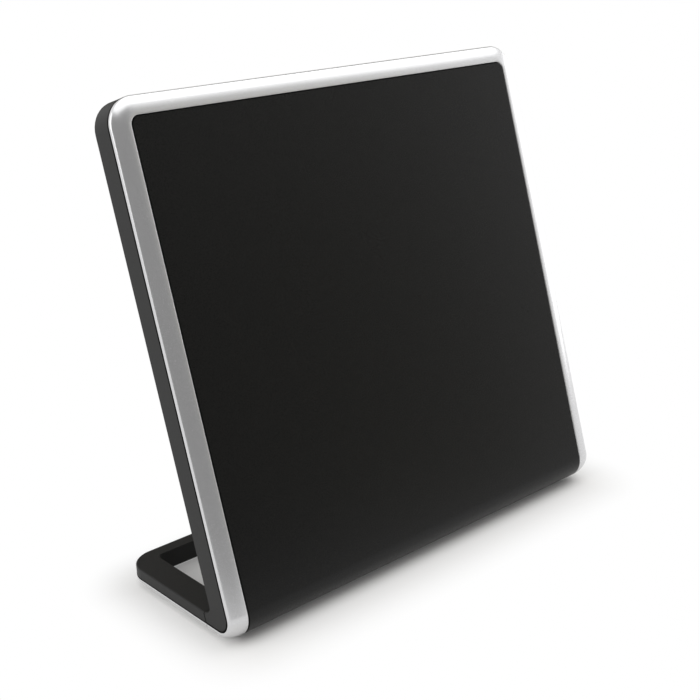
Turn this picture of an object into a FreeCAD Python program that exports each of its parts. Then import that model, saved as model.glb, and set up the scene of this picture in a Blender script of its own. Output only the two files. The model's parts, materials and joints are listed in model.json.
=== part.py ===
"""A leaning flat-panel television antenna on an open loop base, in millimetres.

X runs to the right, Y to the back and Z up. The row's origin is on the floor, under the middle of the
bounding box. Panel pieces are drawn in a frame of their own: x to the right, y up the slope of the front
face and z out of it, from the corner where the planes of the front and the underside would meet. Base
pieces are drawn from the same corner with level axes.
"""

import FreeCAD, Part
import math
import os
import re

import Sketcher

# Driving sizes, in millimetres and degrees
SIZES = {
    # Panel as a whole
    "panel_width": 225.0,
    "panel_length": 221.0,
    "panel_depth": 15.1,
    "overall_depth": 79.6,
    "lean": 16.0,
    "corner_radius": 12.0,
    "tip_radius": 6.5,
    # Silver rim
    "rim_width": 8.0,
    "rim_depth": 3.9,
    "rim_edge_drop": 1.9,
    "rim_edge_radius": 1.3,
    "rim_shoulder": 5.8,
    "rim_crown_radius": 11.0,
    "rim_lip": 0.3,
    "ledge_width": 2.5,
    "key_width": 1.4,
    "key_height": 1.5,
    "key_start": 32.0,
    # Black covers
    "face": 2.0,
    "face_edge": 0.3,
    "reveal": 0.5,
    "wall": 2.0,
    "rear_edge": 0.5,
    "heel_fillet": 3.6,
    "heel_land": 0.3,
    "fit_gap": 0.15,
    # Screws that draw the front face to the rear cover
    "boss_inset": 20.5,
    "boss_low": 30.0,
    "boss_top_inset": 24.0,
    "boss_radius": 3.5,
    "boss_meet": 7.0,
    "cover_screw_radius": 1.05,
    "cover_head_radius": 2.4,
    "cover_head_height": 1.7,
    "cover_head_seat": 2.0,
    "screw_end_gap": 0.6,
    # Base
    "base_height": 8.6,
    "rail_width": 12.2,
    "rear_bar": 6.5,
    "front_bar": 10.0,
    "inner_wall": 2.6,
    "window_radius": 2.5,
    "base_edge": 0.4,
    "tongue_height": 2.8,
    "stand_screw_inner": 27.0,
    "stand_screw_outer": 80.0,
    "stand_screw_radius": 1.0,
    "stand_screw_length": 6.5,
    "stand_head_radius": 2.1,
    "stand_head_height": 0.9,
    # Rubber feet and the screws they hide
    "foot_height": 1.5,
    "foot_recess": 0.5,
    "foot_length": 16.0,
    "foot_width": 4.0,
    "foot_end_radius": 1.8,
    "foot_inset": 6.7,
    "foot_margin": 3.0,
    "tray_screw_radius": 0.9,
    "tray_screw_length": 5.0,
    "tray_head_radius": 1.6,
    "tray_head_height": 1.0,
    # Aerial elements, feed board and screening can
    "feed_rise": 85.0,
    "element_thickness": 0.4,
    "element_inner": 24.0,
    "element_outer": 84.0,
    "element_low": 36.0,
    "element_top_inset": 19.0,
    "element_strip": 14.0,
    "tab_reach": 8.0,
    "tab_height": 28.0,
    "post_half": 2.2,
    "peg_half": 1.0,
    "peg_rise": 0.9,
    "board_width": 60.0,
    "board_height": 34.0,
    "board_thickness": 1.6,
    "feed_screw_inset": 2.0,
    "feed_screw_spread": 18.0,
    "feed_screw_radius": 0.75,
    "feed_screw_length": 4.4,
    "feed_head_radius": 1.8,
    "feed_head_height": 1.2,
    "feed_boss_radius": 2.5,
    "can_side": 24.0,
    "can_height": 4.0,
    "can_wall": 0.4,
    # Coaxial socket
    "barrel_radius": 4.7,
    "bore_radius": 3.4,
    "shoulder_flats": 11.0,
    "shoulder_height": 3.0,
    "washer_radius": 7.0,
    "washer_thickness": 0.6,
    "nut_flats": 11.1,
    "nut_height": 2.4,
    "relief_width": 0.6,
    "relief_depth": 0.3,
    "thread_free": 7.0,
    "barrel_chamfer": 0.4,
    "insulator_step": 0.6,
    "contact_radius": 1.0,
    "contact_bore": 0.5,
    "contact_depth": 6.0,
    "contact_tail": 0.45,
}

# Sizes that follow from the driving ones
RULES = {
    "half_width": "panel_width / 2",
    "sin_lean": "sin(lean * 1deg)",
    "cos_lean": "cos(lean * 1deg)",
    "tan_lean": "tan(lean * 1deg)",
    "tan_half": "tan((45 - lean / 2) * 1deg)",
    "bend_radius": "rim_depth + tip_radius",
    "bend_start": "bend_radius / tan_half",
    "front_reach": "bend_start - bend_radius",
    "corner_place": "-overall_depth / 2 - front_reach",
    "base_rear": "front_reach + overall_depth",
    "heel_depth": "(heel_fillet / tan_half + heel_land) * cos_lean",
    "seam": "panel_depth + heel_depth",
    "seam_low": "seam / cos_lean",
    "base_front": "(seam + fit_gap) / cos_lean",
    "face_half": "half_width - rim_width - reveal",
    "face_top": "panel_length - rim_width - reveal",
    "ledge_half": "half_width - rim_width - ledge_width",
    "inside_back": "panel_depth - wall",
    "slot_top": "face + tongue_height + 2 * fit_gap",
    "sill_top": "(slot_top + wall + inside_back * sin_lean) / cos_lean",
    "boss_across": "half_width - boss_inset",
    "boss_high": "panel_length - boss_top_inset",
    "boss_middle": "(boss_low + boss_high) / 2",
    "cover_screw_length": "boss_meet + cover_head_seat - face - screw_end_gap",
    "stand_screw_place": "(bend_start + seam_low) / 2",
    "window_front": "base_front + base_height * tan_lean + front_bar",
    "window_rear": "base_rear - rear_bar",
    "window_half": "half_width - rail_width",
    "tray_inside": "half_width - rail_width + inner_wall",
    "tray_rear": "base_rear - rear_bar + inner_wall",
    "foot_across": "half_width - foot_inset",
    "foot_front": "base_front + foot_margin + foot_length / 2",
    "foot_rear": "base_rear - corner_radius - foot_length / 2",
    "board_back": "inside_back - shoulder_height",
    "board_front": "board_back - board_thickness",
    "element_high": "panel_length - element_top_inset",
    "post_inner": "element_inner + element_strip / 2",
    "post_outer": "element_outer - element_strip / 2",
    "post_low": "element_low + element_strip / 2",
    "post_high": "element_high - element_strip / 2",
    "feed_across": "element_inner - feed_screw_inset",
    "feed_low": "feed_rise - feed_screw_spread / 2",
    "feed_high": "feed_rise + feed_screw_spread / 2",
    "shoulder_corner": "shoulder_flats / cos(30deg) / 2",
    "nut_corner": "nut_flats / cos(30deg) / 2",
    "nut_end": "panel_depth + washer_thickness + nut_height",
    "barrel_end": "nut_end + relief_width + thread_free + barrel_chamfer",
}

# Where screw heads bear, and the axis of the socket
COVER_SEAT = "boss_meet + cover_head_seat"
STAND_SEAT = "stand_head_height + fit_gap"
TRAY_SEAT = "foot_recess + tray_head_height + fit_gap"
SOCKET_PLACE = [("0", "feed_rise")]

PANEL_NODES = []
BASE_NODES = []

doc = FreeCAD.newDocument("tv_antenna")
sheet = doc.addObject("Spreadsheet::Sheet", "Sizes")
for row, (size_name, size) in enumerate(SIZES.items(), start=1):
    sheet.set(f"A{row}", str(size))
    sheet.setAlias(f"A{row}", size_name)
doc.recompute()


def formula(rule):
    """Write a rule, given in the names above, as an expression on the sheet."""

    def name_of(match):
        name = match.group()
        if name in SIZES:
            return f"Sizes.{name}"
        if name in RULES:
            return f"({formula(RULES[name])})"
        return name

    return re.sub(r"[a-z_]+", name_of, rule)


def value(rule):
    """The number that a rule gives now."""
    number = sheet.evalExpression(formula(rule))
    return getattr(number, "Value", number)


def minus(rule):
    """The rule with its sign turned."""
    return f"-({rule})"


def seam_at(height, plane="seam"):
    """Distance back to a plane that leans with the panel, at a height above the underside."""
    return f"({plane}) / cos_lean + ({height}) * tan_lean"


def sloped(back, height):
    """A level place, given as distance back and height, in the panel's own side view."""
    return (
        f"({back}) * sin_lean + ({height}) * cos_lean",
        f"({height}) * sin_lean - ({back}) * cos_lean",
    )


def box_corners(left, right, low, high, radius=None):
    """Four corners of a rectangle, each with the same radius if one is given."""
    ends = [(left, low), (right, low), (right, high), (left, high)]
    return [end + (radius,) for end in ends]


def both_sides(across, rises):
    """Places on both sides of the middle, at each rise."""
    return [(side, rise) for rise in rises for side in (minus(across), across)]


def new_body(label, nodes):
    """A body for one sub-part, placed later with the others of its group."""
    body = doc.addObject("PartDesign::Body", label)
    body.Label = label
    body.AllowCompound = True
    nodes.append(body)
    return body


def new_sketch(body, name, plane, lift):
    """A sketch on one of the body's planes; 'Level' is the floor's plane in a panel body."""
    sketch = body.newObject("Sketcher::SketchObject", name)
    role = "XY_Plane" if plane == "Level" else f"{plane}_Plane"
    support = next(item for item in body.Origin.OriginFeatures if item.Role == role)
    sketch.AttachmentSupport = [(support, "")]
    sketch.MapMode = "FlatFace"
    if plane == "Level":
        tilt = FreeCAD.Rotation(FreeCAD.Vector(-1, 0, 0), value("90 - lean"))
        sketch.AttachmentOffset = FreeCAD.Placement(FreeCAD.Vector(), tilt)
        sketch.setExpression("AttachmentOffset.Base.y", formula(f"({lift}) * cos_lean"))
        sketch.setExpression("AttachmentOffset.Base.z", formula(f"({lift}) * sin_lean"))
        sketch.setExpression("AttachmentOffset.Rotation.Angle", formula("(90 - lean) * 1deg"))
    else:
        sketch.setExpression("AttachmentOffset.Base.z", formula(lift))
    return sketch


def bind(sketch, constraint, rule):
    """Add a constraint to a sketch and tie its value to a rule."""
    index = sketch.addConstraint(constraint)
    sketch.setExpression(f"Constraints[{index}]", formula(rule))


def place_point(sketch, geometry, end, corner):
    """Fix one point of a sketch from its origin."""
    for axis, rule in zip(("DistanceX", "DistanceY"), corner):
        bind(sketch, Sketcher.Constraint(axis, -1, 1, geometry, end, value(rule)), rule)


def add_outline(sketch, corners, closed=True):
    """Draw lines from corner to corner; a corner with a third value is rounded by that radius."""
    points = [FreeCAD.Vector(value(corner[0]), value(corner[1])) for corner in corners]
    rounds = [value(corner[2]) if len(corner) > 2 and corner[2] else 0 for corner in corners]
    count = len(corners)
    starts, ends, centres = [], [], []
    for index, point in enumerate(points):
        before = (points[index - 1] - point).normalize()
        after = (points[(index + 1) % count] - point).normalize()
        half_angle = before.getAngle(after) / 2
        reach = rounds[index] / math.tan(half_angle)
        starts.append(point + before * reach)
        ends.append(point + after * reach)
        middle = (before + after).normalize() if rounds[index] else before
        centres.append(point + middle * FreeCAD.Vector(reach, rounds[index]).Length)
    lines = [
        sketch.addGeometry(Part.LineSegment(ends[index], starts[(index + 1) % count]))
        for index in range(count if closed else count - 1)
    ]
    for index, corner in enumerate(corners):
        if not closed and index in (0, count - 1):
            place_point(sketch, lines[0] if index == 0 else lines[-1], 1 if index == 0 else 2, corner)
        elif rounds[index]:
            ends_of_arc = (starts[index], ends[index], centres[index])
            round_corner(sketch, lines[index - 1], lines[index], corner, *ends_of_arc)
        else:
            sketch.addConstraint(Sketcher.Constraint("Coincident", lines[index - 1], 2, lines[index], 1))
            place_point(sketch, lines[index], 1, corner)


def round_corner(sketch, before, after, corner, start, end, centre):
    """Join two lines by a tangent arc and fix the corner where the lines would have met."""
    turns_left = (start - centre).cross(end - centre).z > 0
    first, last = (start, end) if turns_left else (end, start)
    circle = Part.Circle(centre, FreeCAD.Vector(0, 0, 1), (start - centre).Length)
    arc = sketch.addGeometry(Part.ArcOfCircle(circle, circle.parameter(first), circle.parameter(last)))
    sketch.addConstraint(Sketcher.Constraint("Tangent", before, 2, arc, 1 if turns_left else 2))
    sketch.addConstraint(Sketcher.Constraint("Tangent", arc, 2 if turns_left else 1, after, 1))
    bind(sketch, Sketcher.Constraint("Radius", arc, circle.Radius), corner[2])
    meeting = FreeCAD.Vector(value(corner[0]), value(corner[1]))
    point = sketch.addGeometry(Part.Point(meeting), True)
    sketch.addConstraint(Sketcher.Constraint("PointOnObject", point, 1, before))
    sketch.addConstraint(Sketcher.Constraint("PointOnObject", point, 1, after))
    place_point(sketch, point, 1, corner)


def outline(body, name, plane, corners, lift="0", closed=True):
    """A sketch that holds one outline."""
    sketch = new_sketch(body, name, plane, lift)
    add_outline(sketch, corners, closed)
    return sketch


def add_circle(sketch, place, radius):
    """Draw one circle in a sketch."""
    centre = FreeCAD.Vector(value(place[0]), value(place[1]))
    ring = sketch.addGeometry(Part.Circle(centre, FreeCAD.Vector(0, 0, 1), value(radius)))
    place_point(sketch, ring, 3, place)
    bind(sketch, Sketcher.Constraint("Radius", ring, value(radius)), radius)


def circles(body, name, plane, places, radius, lift="0"):
    """A sketch of equal circles."""
    sketch = new_sketch(body, name, plane, lift)
    for place in places:
        add_circle(sketch, place, radius)
    return sketch


def hexagons(body, name, plane, places, radius, lift="0"):
    """A sketch of equal hexagons, given by the radius to their corners."""
    sketch = new_sketch(body, name, plane, lift)
    for across, rise in places:
        corners = [
            (f"{across} + ({radius}) * cos({angle}deg)", f"{rise} + ({radius}) * sin({angle}deg)")
            for angle in range(0, 360, 60)
        ]
        add_outline(sketch, corners)
    return sketch


def squares(body, name, places, half, lift):
    """A sketch of equal squares on the panel's plane."""
    sketch = new_sketch(body, name, "XY", lift)
    for across, rise in places:
        sides = (f"{across} - ({half})", f"{across} + {half}", f"{rise} - ({half})", f"{rise} + {half}")
        add_outline(sketch, box_corners(*sides))
    return sketch


def extrude(body, kind, name, sketch, length, symmetric=False, back=False):
    """Pad or pocket a sketch; 'back' turns the direction round."""
    feature = body.newObject(f"PartDesign::{kind}", name)
    feature.Profile = sketch
    feature.setExpression("Length", formula(length))
    feature.Midplane = symmetric
    feature.Reversed = back
    body.Tip = feature
    doc.recompute()
    return feature


def pad(body, name, sketch, length, **options):
    """Add a sketch's area, carried along its normal."""
    return extrude(body, "Pad", name, sketch, length, **options)


def pocket(body, name, sketch, length, **options):
    """Cut a sketch's area away, against its normal unless told to go back."""
    return extrude(body, "Pocket", name, sketch, length, **options)


def pipe(body, name, profile, spine):
    """Carry a profile along a spine."""
    feature = body.newObject("PartDesign::AdditivePipe", name)
    feature.Profile = profile
    feature.Spine = (spine, [])
    body.Tip = feature
    doc.recompute()
    return feature


def dress(body, kind, name, radius, chosen):
    """Round or chamfer the edges of the body's tip that the test chooses."""
    base = body.Tip
    names = [f"Edge{number}" for number, edge in enumerate(base.Shape.Edges, start=1) if chosen(edge)]
    feature = body.newObject(f"PartDesign::{kind}", name)
    feature.Base = (base, names)
    feature.setExpression("Radius" if kind == "Fillet" else "Size", formula(radius))
    body.Tip = feature
    doc.recompute()
    return feature


def near(number, target):
    """Whether a measured place is at a wanted one."""
    return abs(number - target) < 1e-4


def along(edge, axis):
    """Whether a straight edge runs along one of the axes x, y, z."""
    box = edge.BoundBox
    lengths = dict(zip("xyz", (box.XLength, box.YLength, box.ZLength)))
    return near(lengths.pop(axis), edge.Length) and max(lengths.values()) < 1e-4


def silver_skin(sign):
    """Corners of the silver's outer skin: the parting edge, a rounded side edge and a broad shoulder."""
    return [
        (minus("half_width"), f"{sign} * rim_depth"),
        (minus("half_width"), f"{sign} * rim_edge_drop", "rim_edge_radius"),
        ("rim_shoulder - half_width", "0", "rim_crown_radius"),
    ]


def build_silver_rim():
    """The silver frame: sides, top, the two lower bends and their returns to the seam."""
    body = new_body("silver_rim", PANEL_NODES)
    section = silver_skin(-1) + [
        ("rim_width - rim_lip - half_width", "0"),
        ("rim_width - half_width", minus("rim_lip")),
        ("rim_width - half_width", "-face"),
        (minus("ledge_half"), "-face"),
        (minus("ledge_half"), minus("rim_depth")),
    ]
    key_outer = "wall + fit_gap - half_width"
    key_inner = f"{key_outer} + key_width"
    key = [
        (key_inner, minus("rim_depth")),
        (key_inner, "-rim_depth - key_height"),
        (key_outer, "-rim_depth - key_height"),
        (key_outer, minus("rim_depth")),
    ]
    arch = [
        (minus("half_width"), "key_start"),
        (minus("half_width"), "panel_length", "corner_radius"),
        ("half_width", "panel_length", "corner_radius"),
        ("half_width", "key_start"),
    ]
    keyed = outline(body, "RimKeyed", "XZ", section + key, "-key_start")
    pipe(body, "RimArch", keyed, outline(body, "RimArchPath", "XY", arch, closed=False))
    shin = [("key_start", "0"), ("0", "0", "bend_radius"), sloped("seam_low", "0")]
    for side, turned in (("Left", False), ("Right", True)):
        corners = [(minus(corner[0]),) + corner[1:] for corner in section] if turned else section
        plain = outline(body, f"Rim{side}", "XZ", corners, "-key_start")
        lift = "half_width" if turned else minus("half_width")
        pipe(body, f"Rim{side}Bend", plain, outline(body, f"Rim{side}Path", "YZ", shin, lift, closed=False))
    level_end = outline(
        body,
        "RimEnd",
        "YZ",
        [
            ("0", "-seam"),
            ("key_start", "-seam"),
            ("key_start", "-seam - rim_width"),
            ("0", "-seam - rim_width"),
        ],
    )
    pocket(body, "RimTrim", level_end, "panel_width", symmetric=True)


def build_front_panel():
    """The black face: a sheet that rolls under at the foot, with screw bosses behind."""
    body = new_body("front_panel", PANEL_NODES)
    inner_end = sloped(seam_at("face"), "face")
    strip = [
        ("face_top", "0"),
        ("0", "0", "bend_radius"),
        sloped("seam_low", "0"),
        inner_end,
        ("face * (1 + sin_lean) / cos_lean", "-face", "bend_radius - face"),
        ("face_top", "-face"),
    ]
    pad(body, "FaceSheet", outline(body, "FaceSide", "YZ", strip), "2 * face_half", symmetric=True)
    top = value("face_top")
    dress(
        body,
        "Fillet",
        "FaceCorners",
        "corner_radius - rim_width - reveal",
        lambda edge: along(edge, "z") and near(edge.BoundBox.YMax, top),
    )
    dress(body, "Chamfer", "FaceEdge", "face_edge", on_face_border)
    bosses = hexagons(body, "FaceBossPlan", "XY", cover_places(), "boss_radius", "-face")
    pad(body, "FaceBosses", bosses, "boss_meet - face", back=True)
    pilot = "cover_screw_radius + fit_gap / 2"
    pilots = hexagons(body, "FacePilotPlan", "XY", cover_places(), pilot, minus("boss_meet"))
    pocket(body, "FacePilots", pilots, "boss_meet - face", back=True)
    stands = stand_places()
    heads = hexagons(body, "FaceHeadPlan", "Level", stands, "stand_head_radius + fit_gap")
    pocket(body, "FaceHeads", heads, STAND_SEAT, back=True)
    holes = hexagons(body, "FaceStandPlan", "Level", stands, "stand_screw_radius + fit_gap")
    pocket(body, "FaceStandHoles", holes, "face", back=True)


def on_face_border(edge):
    """Whether an edge of the face's sheet borders its outer skin, at the sides or the top."""
    if along(edge, "x"):
        return near(edge.BoundBox.ZMin, 0) and near(edge.BoundBox.YMax, value("face_top"))
    sine, cosine = value("sin_lean"), value("cos_lean")
    on_front = near(edge.BoundBox.ZMin, 0)
    on_bend = hasattr(edge.Curve, "Radius") and near(edge.Curve.Radius, value("bend_radius"))
    on_floor = all(near(end.Point.y * cosine + end.Point.z * sine, 0) for end in edge.Vertexes)
    return on_front or on_bend or on_floor


def cover_places():
    """Places of the six screws that join the front face to the rear cover."""
    return both_sides("boss_across", ("boss_low", "boss_middle", "boss_high"))


def stand_places():
    """Places of the four screws that hold the base's tongue, seen from above."""
    return [
        (side, "stand_screw_place")
        for across in ("stand_screw_inner", "stand_screw_outer")
        for side in (minus(across), across)
    ]


def element_places():
    """Places of the posts that carry both aerial elements."""
    rises = ("post_low", "post_high")
    return both_sides("post_inner", rises) + both_sides("post_outer", rises)


def feed_places():
    """Places of the screws that clamp the feed tabs and the board."""
    return both_sides("feed_across", ("feed_low", "feed_high"))


def build_rear_cover():
    """The black rear shell, with its heel, screw pillars, posts, socket hole and tongue slot."""
    body = new_body("rear_cover", PANEL_NODES)
    profile = [
        ("panel_length", minus("rim_depth")),
        ("rim_depth * (1 + sin_lean) / cos_lean", minus("rim_depth"), "tip_radius"),
        sloped(seam_at("rim_depth"), "rim_depth"),
        sloped(seam_at("base_height"), "base_height"),
        sloped(seam_at("base_height", "panel_depth"), "base_height") + ("heel_fillet",),
        ("panel_length", "-panel_depth"),
    ]
    pad(body, "CoverBlock", outline(body, "CoverSide", "YZ", profile), "panel_width", symmetric=True)
    length, depth, half = value("panel_length"), value("panel_depth"), value("half_width")
    dress(
        body,
        "Fillet",
        "CoverCorners",
        "corner_radius",
        lambda edge: along(edge, "z") and near(edge.BoundBox.YMax, length),
    )
    dress(
        body,
        "Chamfer",
        "CoverRearEdge",
        "rear_edge",
        lambda edge: near(edge.BoundBox.ZMax, -depth)
        and near(edge.BoundBox.ZLength, 0)
        and (near(abs(edge.CenterOfMass.x), half) or edge.BoundBox.YMax > length / 2),
    )
    room = [
        (minus("half_width - wall"), "sill_top"),
        ("half_width - wall", "sill_top"),
        ("half_width - wall", "panel_length - wall", "corner_radius - wall"),
        (minus("half_width - wall"), "panel_length - wall", "corner_radius - wall"),
    ]
    plan = outline(body, "CoverInside", "XY", room, minus("rim_depth"))
    pocket(body, "CoverRoom", plan, "inside_back - rim_depth")
    slot = box_corners(minus("ledge_half"), "ledge_half", "0", seam_at("base_height") + " + wall")
    pocket(body, "TongueSlot", outline(body, "TongueSlotPlan", "Level", slot), "slot_top", back=True)
    pilot = "stand_screw_radius + fit_gap / 2"
    stands = hexagons(body, "StandPilotPlan", "Level", stand_places(), pilot, "slot_top")
    pocket(body, "StandPilots", stands, "stand_screw_length", back=True)
    screws = cover_places()
    add_bosses(body, "Pillar", screws, "boss_radius", "inside_back - boss_meet")
    posts = squares(body, "PostPlan", element_places(), "post_half", minus("inside_back"))
    pad(body, "Posts", posts, "inside_back - board_front")
    pegs = squares(body, "PegPlan", element_places(), "peg_half", minus("board_front"))
    pad(body, "Pegs", pegs, "element_thickness + peg_rise")
    add_bosses(body, "FeedBoss", feed_places(), "feed_boss_radius", "shoulder_height")
    pilot = "feed_screw_radius + fit_gap / 2"
    pilots = hexagons(body, "FeedPilotPlan", "XY", feed_places(), pilot, minus("board_back"))
    pocket(body, "FeedPilots", pilots, "shoulder_height")
    shanks = hexagons(body, "ShankPlan", "XY", screws, "cover_screw_radius + 2 * fit_gap", minus("boss_meet"))
    pocket(body, "ShankHoles", shanks, "panel_depth")
    heads = circles(body, "HeadRings", "XY", screws, "cover_head_radius + 2 * fit_gap", minus(COVER_SEAT))
    pocket(body, "HeadSinks", heads, "panel_depth")
    hole = circles(body, "SocketRing", "XY", SOCKET_PLACE, "barrel_radius + fit_gap", minus("inside_back"))
    pocket(body, "SocketHole", hole, "panel_depth")


def add_bosses(body, name, places, radius, height):
    """Six-sided bosses on the inside of the rear wall."""
    plan = hexagons(body, f"{name}Plan", "XY", places, radius, minus("inside_back"))
    pad(body, f"{name}s", plan, height)


def build_base_top():
    """The black upper moulding of the base: an open loop with a tongue into the panel."""
    body = new_body("base_top", BASE_NODES)
    side = [
        ("base_front", "0"),
        (seam_at("base_height", "seam + fit_gap"), "base_height"),
        ("base_rear", "base_height"),
        ("base_rear", "0"),
    ]
    pad(body, "BaseBlock", outline(body, "BaseSide", "YZ", side), "panel_width", symmetric=True)
    rear, top = value("base_rear"), value("base_height")
    dress(
        body,
        "Fillet",
        "BaseCorners",
        "corner_radius",
        lambda edge: along(edge, "z") and near(edge.BoundBox.YMax, rear),
    )
    dress(
        body,
        "Chamfer",
        "BaseEdge",
        "base_edge",
        lambda edge: near(edge.BoundBox.ZMin, top) and edge.BoundBox.YMax > rear / 2,
    )
    window = box_corners(minus("window_half"), "window_half", "window_front", "window_rear", "window_radius")
    pocket(body, "Window", outline(body, "WindowPlan", "XY", window), "base_height", back=True)
    past = "half_width + wall"
    seat = [
        (minus(past), "0"),
        (minus("tray_inside"), "0"),
        (minus("tray_inside"), "tray_rear", "window_radius"),
        ("tray_inside", "tray_rear", "window_radius"),
        ("tray_inside", "0"),
        (past, "0"),
        (past, "base_rear + wall"),
        (minus(past), "base_rear + wall"),
    ]
    pocket(body, "TraySeat", outline(body, "TraySeatPlan", "XY", seat), "rim_depth", back=True)
    for name, left, right in (
        ("Left", minus("half_width - wall"), minus("tray_inside")),
        ("Right", "tray_inside", "half_width - wall"),
    ):
        channel = box_corners(left, right, "foot_front + foot_width", "foot_rear - foot_width")
        plan = outline(body, f"{name}ChannelPlan", "XY", channel)
        pocket(body, f"{name}Channel", plan, "base_height - wall", back=True)
    tongue_half = "ledge_half - fit_gap"
    tongue = box_corners(minus(tongue_half), tongue_half, "bend_start", seam_at("slot_top") + " + wall")
    pad(body, "Tongue", outline(body, "TonguePlan", "XY", tongue, "face + fit_gap"), "tongue_height")
    holes = hexagons(body, "TongueHolePlan", "XY", stand_places(), "stand_screw_radius + fit_gap", "face")
    pocket(body, "TongueHoles", holes, "slot_top - face", back=True)
    pilot = "tray_screw_radius + fit_gap / 2"
    pilots = hexagons(body, "TrayPilotPlan", "XY", foot_places(), pilot, TRAY_SEAT)
    pocket(body, "TrayPilots", pilots, "tray_screw_length", back=True)


def foot_places():
    """Middles of the four feet, seen from above."""
    return both_sides("foot_across", ("foot_front", "foot_rear"))


def build_base_tray():
    """The silver lower edge of the base, a channel that carries on from the rim."""
    body = new_body("base_tray", BASE_NODES)
    section = silver_skin(1) + [
        (minus("tray_inside"), "0"),
        (minus("tray_inside"), "rim_depth"),
    ]
    path = [
        (minus("half_width"), "0"),
        (minus("half_width"), "base_rear", "corner_radius"),
        ("half_width", "base_rear", "corner_radius"),
        ("half_width", "0"),
    ]
    profile = outline(body, "TraySection", "XZ", section)
    pipe(body, "TrayChannel", profile, outline(body, "TrayPath", "XY", path, closed=False))
    lean_cut = [
        ("-wall", "-wall"),
        (seam_at("-wall", "seam + fit_gap"), "-wall"),
        (seam_at("base_height", "seam + fit_gap"), "base_height"),
        ("-wall", "base_height"),
    ]
    pocket(body, "TrayEnds", outline(body, "TrayEndSide", "YZ", lean_cut), "2 * panel_width", symmetric=True)
    inside = box_corners(minus("tray_inside"), "tray_inside", "base_front", "tray_rear", "window_radius")
    plan = outline(body, "TrayInsidePlan", "XY", inside, "-wall")
    pocket(body, "TrayInside", plan, "2 * base_height", back=True)
    for number, (across, back) in enumerate(foot_places(), start=1):
        recess = foot_outline(across, back, "(foot_width + fit_gap) / 2", "(foot_length + fit_gap) / 2")
        plan = outline(body, f"FootPlan{number}", "XY", recess)
        pocket(body, f"FootRecess{number}", plan, "foot_recess", back=True)
    heads = hexagons(body, "TrayHeadPlan", "XY", foot_places(), "tray_head_radius + fit_gap")
    pocket(body, "TrayHeads", heads, TRAY_SEAT, back=True)
    holes = hexagons(body, "TrayHolePlan", "XY", foot_places(), "tray_screw_radius + fit_gap")
    pocket(body, "TrayHoles", holes, "rim_depth", back=True)


def foot_outline(across, back, half_across, half_back):
    """Corners of a long foot with rounded ends."""
    return box_corners(
        f"{across} - ({half_across})",
        f"{across} + {half_across}",
        f"{back} - ({half_back})",
        f"{back} + {half_back}",
        "foot_end_radius",
    )


def build_feet():
    """Four rubber pads, let into the underside of the silver channel."""
    names = ("foot_front_left", "foot_front_right", "foot_rear_left", "foot_rear_right")
    for name, (across, back) in zip(names, foot_places()):
        body = new_body(name, BASE_NODES)
        corners = foot_outline(across, back, "foot_width / 2", "foot_length / 2")
        plan = outline(body, f"{name}_plan", "XY", corners, "-foot_height")
        pad(body, f"{name}_pad", plan, "foot_height + foot_recess")


def build_elements():
    """Two stamped loops whose tabs meet the feed board; the left one mirrors the right."""
    for name, sign in (("left_element", "-1"), ("right_element", "1")):
        body = new_body(name, PANEL_NODES)
        tab_low, tab_high = "feed_rise - tab_height / 2", "feed_rise + tab_height / 2"
        border = [
            (f"{sign} * element_inner", "element_low"),
            (f"{sign} * element_outer", "element_low"),
            (f"{sign} * element_outer", "element_high"),
            (f"{sign} * element_inner", "element_high"),
            (f"{sign} * element_inner", tab_high),
            (f"{sign} * (element_inner - tab_reach)", tab_high),
            (f"{sign} * (element_inner - tab_reach)", tab_low),
            (f"{sign} * element_inner", tab_low),
        ]
        hollow = box_corners(
            f"{sign} * (element_inner + element_strip)",
            f"{sign} * (element_outer - element_strip)",
            "element_low + element_strip",
            "element_high - element_strip",
        )
        plate = outline(body, f"{name}_plate", "XY", border, minus("board_front"))
        add_outline(plate, hollow)
        pad(body, f"{name}_sheet", plate, "element_thickness")
        posts = [place for place in element_places() if place[0].startswith("-") == (sign == "-1")]
        holes = squares(body, f"{name}_hole_plan", posts, "peg_half + fit_gap", minus("board_front"))
        pocket(body, f"{name}_holes", holes, "element_thickness", back=True)
        feeds = [place for place in feed_places() if place[0].startswith("-") == (sign == "-1")]
        shank = "feed_screw_radius + fit_gap"
        clear = hexagons(body, f"{name}_feeds", "XY", feeds, shank, minus("board_front"))
        pocket(body, f"{name}_clear", clear, "element_thickness", back=True)


def build_feed_board():
    """The small circuit board behind the feed tabs, with the screening can on it."""
    board = new_body("feed_board", PANEL_NODES)
    edge = box_corners(
        "-board_width / 2",
        "board_width / 2",
        "feed_rise - board_height / 2",
        "feed_rise + board_height / 2",
    )
    pad(board, "BoardSheet", outline(board, "BoardPlan", "XY", edge, minus("board_back")), "board_thickness")
    shank = "feed_screw_radius + fit_gap"
    clear = hexagons(board, "BoardHolePlan", "XY", feed_places(), shank, minus("board_back"))
    pocket(board, "BoardHoles", clear, "board_thickness", back=True)
    tail = circles(board, "TailRing", "XY", SOCKET_PLACE, "contact_tail + fit_gap", minus("board_back"))
    pocket(board, "TailHole", tail, "board_thickness", back=True)

    can = new_body("shield_can", PANEL_NODES)
    pad(can, "CanBlock", can_plan(can, "CanBlockPlan", "can_side / 2"), "can_height")
    room = can_plan(can, "CanRoomPlan", "can_side / 2 - can_wall")
    pocket(can, "CanRoom", room, "can_height - can_wall", back=True)


def can_plan(can, name, half):
    """A square round the socket's axis, on the front of the board."""
    corners = box_corners(minus(half), half, f"feed_rise - ({half})", f"feed_rise + {half}")
    return outline(can, name, "XY", corners, minus("board_front"))


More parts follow.
